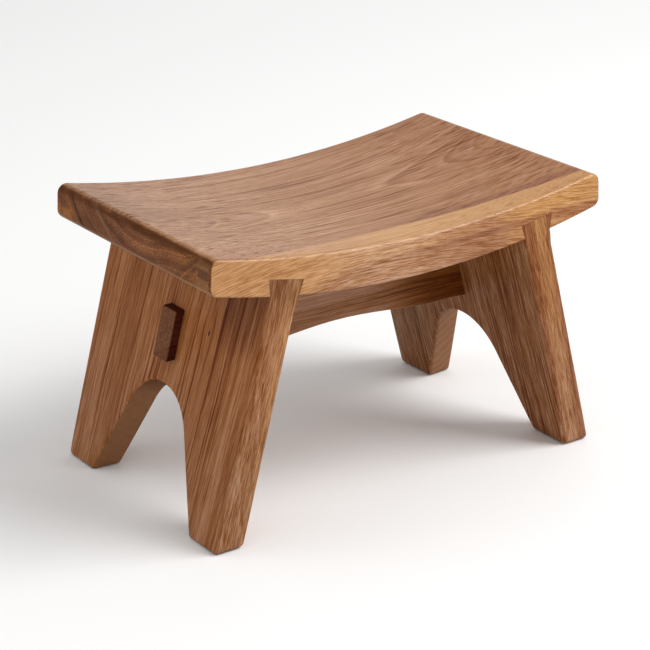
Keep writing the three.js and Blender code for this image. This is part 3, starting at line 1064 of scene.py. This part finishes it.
def leg_material(name, sign, seed, pith, lean, base, gold, face_gain, edge_gain, swirls=()):
    b = Board(
        name,
        (sign * LEG_FOOT_X, 0, 0),
        (-sign * SIN, 0, COS),
        (0, 1, 0),
        (-sign * COS, 0, -SIN),
        pith,
        {
            "seed": seed,
            "ring": 3.6,
            "wander": 6.0,
            "ripple": 1.8,
            "uneven": 1.6,
            "group": 0.06,
            "fine": 0.17,
            "bend_across": (lean, 0.0, 0.0),
            "swirls": swirls,
            "even": (0, 1, 0),
            "tone": {
                "base": base,
                "group": 0.49,
                "cloud": 0.34,
                "streak": 0.71,
                "fibre": 0.79,
                "late": 0.18,
                "pale": 0.12,
                "thread": 0.32,
            },
        },
    )
    n = b.n
    front = n.ease(n.dot(b.normal, (0, -1, 0)), 0.3, 0.85)
    # narrower bands on the board's front edge, and pale wavy ones where the arch cuts the rings at a slant
    rim = n.ease(n.math("ABSOLUTE", b.across), 104.0, 112.0)
    wall = n.mul(n.sub(1.0, rim), n.ease(n.math("ABSOLUTE", n.dot(b.normal, (0, 1, 0))), 0.35, 0.75))
    inner = n.ease(n.dot(b.normal, (-sign * COS, 0, -SIN)), 0.3, 0.85)
    calm = n.madd(wall, -0.9, 1.0)
    edge_on = n.ease(n.math("ABSOLUTE", n.dot(b.normal, (0, 1, 0))), 0.3, 0.85)
    tone = b.tone(n.mul(calm, n.madd(n.mul(edge_on, rim), -0.4 if sign > 0 else -0.5, 1.0)), n.mul(calm, n.madd(edge_on, -0.35 if sign > 0 else -0.3, n.madd(inner, 1.3, 1.0))))
    dash = n.ease(n.noise(b.v, (0.050, 0.12, 1.35), seed + 30, 2.0, 0.5), 0.46, 0.60)
    tone = n.madd(n.both(dash, edge_on, calm), -0.24, n.madd(n.mul(edge_on, calm), 0.08, tone))
    waves = n.noise(n.vec(b.along, b.across, b.deep), (0.035, 0.035, 0.06), seed + 20, 1.0, 0.5)
    waves = n.math("SINE", n.madd(waves, 9.0, n.madd(b.along, 0.58, n.mul(b.deep, 0.22))))
    tone = n.madd(n.mul(wall, waves), 0.045 if sign > 0 else 0.012, n.madd(wall, -0.01, tone))
    # a golden strip down the front edge
    centre = n.line(b.along, 0.0, 210.0, gold[0], gold[1])
    strip = n.mul(n.band(b.deep, centre, gold[2] * 0.5, gold[2]), n.ease(b.across, -123.0, -108.0, 1.0, 0.0))
    tone = n.madd(strip, 0.10, tone)
    spread = (0.84, 1.0, 1.95)
    colour = n.mix(front, n.ramp(tone, tinted(DEEP, face_gain, spread, 0.43)), n.ramp(tone, tinted(DEEP, edge_gain, (0.90, 1.0, 1.5), 0.43)))
    colour = n.mix(n.mul(strip, 0.35), colour, n.ramp(tone, SAP))
    colour = n.mix(wall, colour, n.mix(1.0, colour, (1.0, 1.12, 1.08) if sign > 0 else (0.80, 0.77, 0.70), "MULTIPLY"))
    # greyer towards the floor and more golden towards the seat, on all but the inner face
    high = n.ease(b.z, 30.0, 185.0)
    hue = n.mix(high, (1.02, 1.09, 1.32), (0.97, 0.91, 0.76))
    if sign < 0:
        hue = n.mix(high, (1.02, 1.09, 1.32), (1.01, 0.95, 0.79))
        hue = n.mix(front, hue, n.mix(high, (0.93, 0.97, 0.99), (0.98, 0.94, 0.86)))
    colour = n.mix(n.sub(1.0, inner), colour, n.mix(1.0, colour, hue, "MULTIPLY"))
    if sign > 0:
        outer = n.ease(n.dot(b.normal, (COS, 0, SIN)), 0.3, 0.85)
        colour = n.mix(outer, colour, n.mix(1.0, colour, (1.04, 0.97, 0.86), "MULTIPLY"))
        colour = n.mix(n.mul(inner, n.ease(b.y, 10.0, 70.0)), colour, n.mix(1.0, colour, (0.80, 0.83, 0.85), "MULTIPLY"))
        colour = n.mix(n.mul(inner, n.ease(b.z, 120.0, 190.0)), colour, n.mix(1.0, colour, (1.08, 1.14, 1.08), "MULTIPLY"))
    if swirls:
        # the dovetail's end, darker than the edge below it
        colour = n.mix(n.mul(front, n.ease(b.z, 178.0, 214.0)), colour, n.mix(1.0, colour, (0.75, 0.73, 0.72), "MULTIPLY"))
    colour = b.flecks(colour, n.mul(calm, n.madd(edge_on, -0.12, 0.30)), n.mul(calm, n.madd(edge_on, 0.12, 0.2)))
    end_colour = n.mix(0.3, n.fade(colour, 0.5), lin("5a4230"))
    colour = n.mix(b.end_mask, colour, end_colour)
    if swirls:
        along, across = swirls[0][:2]
        d = n.math("SQRT", n.add(n.mul(n.math("POWER", n.sub(b.along, along), 2.0), 0.35), n.math("POWER", n.sub(b.across, across), 2.0)))
        d = n.madd(n.sub(b.fibre, 0.5), 1.6, d)
        colour = n.mix(n.ease(d, 0.6, 2.4, 0.85, 0.0), colour, lin("2c150a"))
        # painted shadow: darker high on the outer face towards the front, where the seat's overhang shades it
        patch = n.both(n.ease(b.y, -82.0, -50.0, 1.0, 0.0), n.ease(b.z, 145.0, 182.0), n.sub(1.0, front))
        patch = n.mul(patch, n.ease(b.streak, 0.35, 0.60, 1.0, 0.55))
        colour = n.mix(n.mul(patch, 0.62), colour, n.mix(1.0, colour, (0.20, 0.07, 0.0), "MULTIPLY"))
    return b.finish(colour, gloss=0.16, gloss_rough=0.32)


def stretcher_material():
    b = Board(
        "walnut_stretcher",
        (0, 0, 148),
        (1, 0, 0),
        (0, 0, 1),
        (0, 1, 0),
        (95.0, 60.0),
        {
            "seed": 21.0,
            "ring": 3.8,
            "wander": 7.0,
            "ripple": 2.0,
            "uneven": 1.8,
            "tone": {
                "base": 0.50,
                "group": 0.5,
                "cloud": 0.2,
                "streak": 0.56,
                "fibre": 0.40,
                "late": 0.16,
                "pale": 0.1,
                "thread": 0.18,
            },
        },
    )
    n = b.n
    # painted shadow: darker towards the right end, where the right leg and the seat shade it
    shade = n.ease(b.x, 35.0, 112.0)
    tone = n.madd(shade, -0.24, b.tone())
    colour = n.ramp(tone, tinted(DEEP, (1.40, 1.94, 3.9), (0.9, 1.0, 1.5), 0.43))
    colour = n.mix(shade, colour, n.mix(1.0, colour, (0.72, 0.58, 0.18), "MULTIPLY"))
    colour = n.mix(n.ease(b.x, -70.0, 0.0, 1.0, 0.0), colour, n.mix(1.0, colour, (0.89, 0.89, 0.78), "MULTIPLY"))
    colour = b.flecks(colour, 0.36, 0.22)
    end_colour = n.mix(0.35, n.mix(1.0, colour, (0.5, 0.44, 0.36), "MULTIPLY"), lin("744028"))
    # the proud long faces of the tenons are much darker and redder than their ends, and hold less film
    proud = n.math("SUBTRACT", n.math("ABSOLUTE", b.x), n.madd(b.z, -TAN, LEG_FOOT_X - 1.0))
    cheek = n.ease(proud, 0.0, 0.5)
    colour = n.mix(n.mul(cheek, 0.96), colour, n.mix(1.0, n.fade(colour, 0.13), (1.4, 0.28, 0.1), "MULTIPLY"))
    colour = n.mix(b.end_mask, colour, end_colour)
    return b.finish(colour, gloss=0.16, gloss_rough=0.32, spec=0.12, dull=cheek)


# ------------------------------------------------------------------ build

seat = make_seat()
dress(seat, "seat", seat_material())
leg_right = make_leg("leg_panel_right", 1)
dress(leg_right, "leg_right", leg_material("walnut_leg_right", 1, 57.0, (-130.0, -120.0), 0.08, 0.52, (18.0, 10.5, 7.0), (1.03, 1.15, 1.38), (0.93, 0.93, 1.19)))
leg_left = make_leg("leg_panel_left", -1)
dress(leg_left, "leg_left", leg_material("walnut_leg_left", -1, 33.0, (150.0, 75.0), -0.07, 0.52, (30.0, 22.0, 7.0), (1.20, 1.23, 1.27), (1.17, 1.40, 2.20), ((167.9, -51.5, 16.0, 8.0, 0.55),)))
stretcher = make_stretcher()
dress(stretcher, "stretcher", stretcher_material())

# ------------------------------------------------------------------ floor, light and camera

scene = bpy.context.scene


def make_floor():
    ob = mesh_from(
        "floor",
        [(-9000, -6000, -0.3), (9000, -6000, -0.3), (9000, 12000, -0.3), (-9000, 12000, -0.3)],
        [(0, 1, 2, 3)],
    )
    mat = bpy.data.materials.new("studio_floor")
    mat.use_nodes = True
    shader = mat.node_tree.nodes["Principled BSDF"]
    shader.inputs["Base Color"].default_value = (0.92, 0.92, 0.915, 1)
    shader.inputs["Roughness"].default_value = 0.9
    shader.inputs["Specular IOR Level"].default_value = 0.1
    ob.data.materials.append(mat)
    return ob


def area_light(name, place, target, size, power, colour=(1, 1, 1)):
    data = bpy.data.lights.new(name, "AREA")
    data.shape = "RECTANGLE"
    data.size, data.size_y = size
    data.energy = power
    data.color = colour
    ob = bpy.data.objects.new(name, data)
    scene.collection.objects.link(ob)
    ob.location = place
    ob.rotation_euler = (Vector(target) - Vector(place)).to_track_quat("-Z", "Y").to_euler()
    return ob


def make_world(strength):
    world = bpy.data.worlds.new("studio")
    world.use_nodes = True
    back = world.node_tree.nodes["Background"]
    back.inputs["Color"].default_value = (1.0, 1.0, 1.0, 1)
    back.inputs["Strength"].default_value = strength
    scene.world = world


def make_camera():
    eye = Vector((-998.97243, -1411.27362, 791.0101))
    forward = (Vector((0, 0, 110)) - eye).normalized()
    right = forward.cross(Vector((0, 0, 1))).normalized()
    up = right.cross(forward)
    base = Matrix((right, up, -forward))
    turn = (
        Matrix.Rotation(0.0011321, 3, "Z")
        @ Matrix.Rotation(-0.0025362, 3, "Y")
        @ Matrix.Rotation(-0.0036603, 3, "X")
    )
    data = bpy.data.cameras.new("camera")
    data.sensor_fit = "HORIZONTAL"
    data.sensor_width = 36.0
    data.lens = 2095.43061 / 650 * 36.0
    data.clip_start, data.clip_end = 0.05, 60.0
    data.dof.use_dof = False
    ob = bpy.data.objects.new("camera", data)
    scene.collection.objects.link(ob)
    world = (turn @ base).transposed().to_4x4()
    world.translation = eye * MM
    ob.matrix_world = world
    scene.camera = ob
    return ob


make_floor()
make_world(0.63)
area_light("key", (1.6, -1.5, 2.3), (0, 0, 0.15), (2.0, 2.0), 76)
area_light("fill", (-2.6, 1.6, 1.6), (0, 0, 0.15), (1.6, 1.2), 10)
area_light("back_low", (1.9, 2.5, 0.8), (0, 0, 0.2), (1.6, 0.8), 4)
make_camera()
scene.view_settings.view_transform = "Standard"
scene.view_settings.look = "None"

bpy.context.view_layer.update()
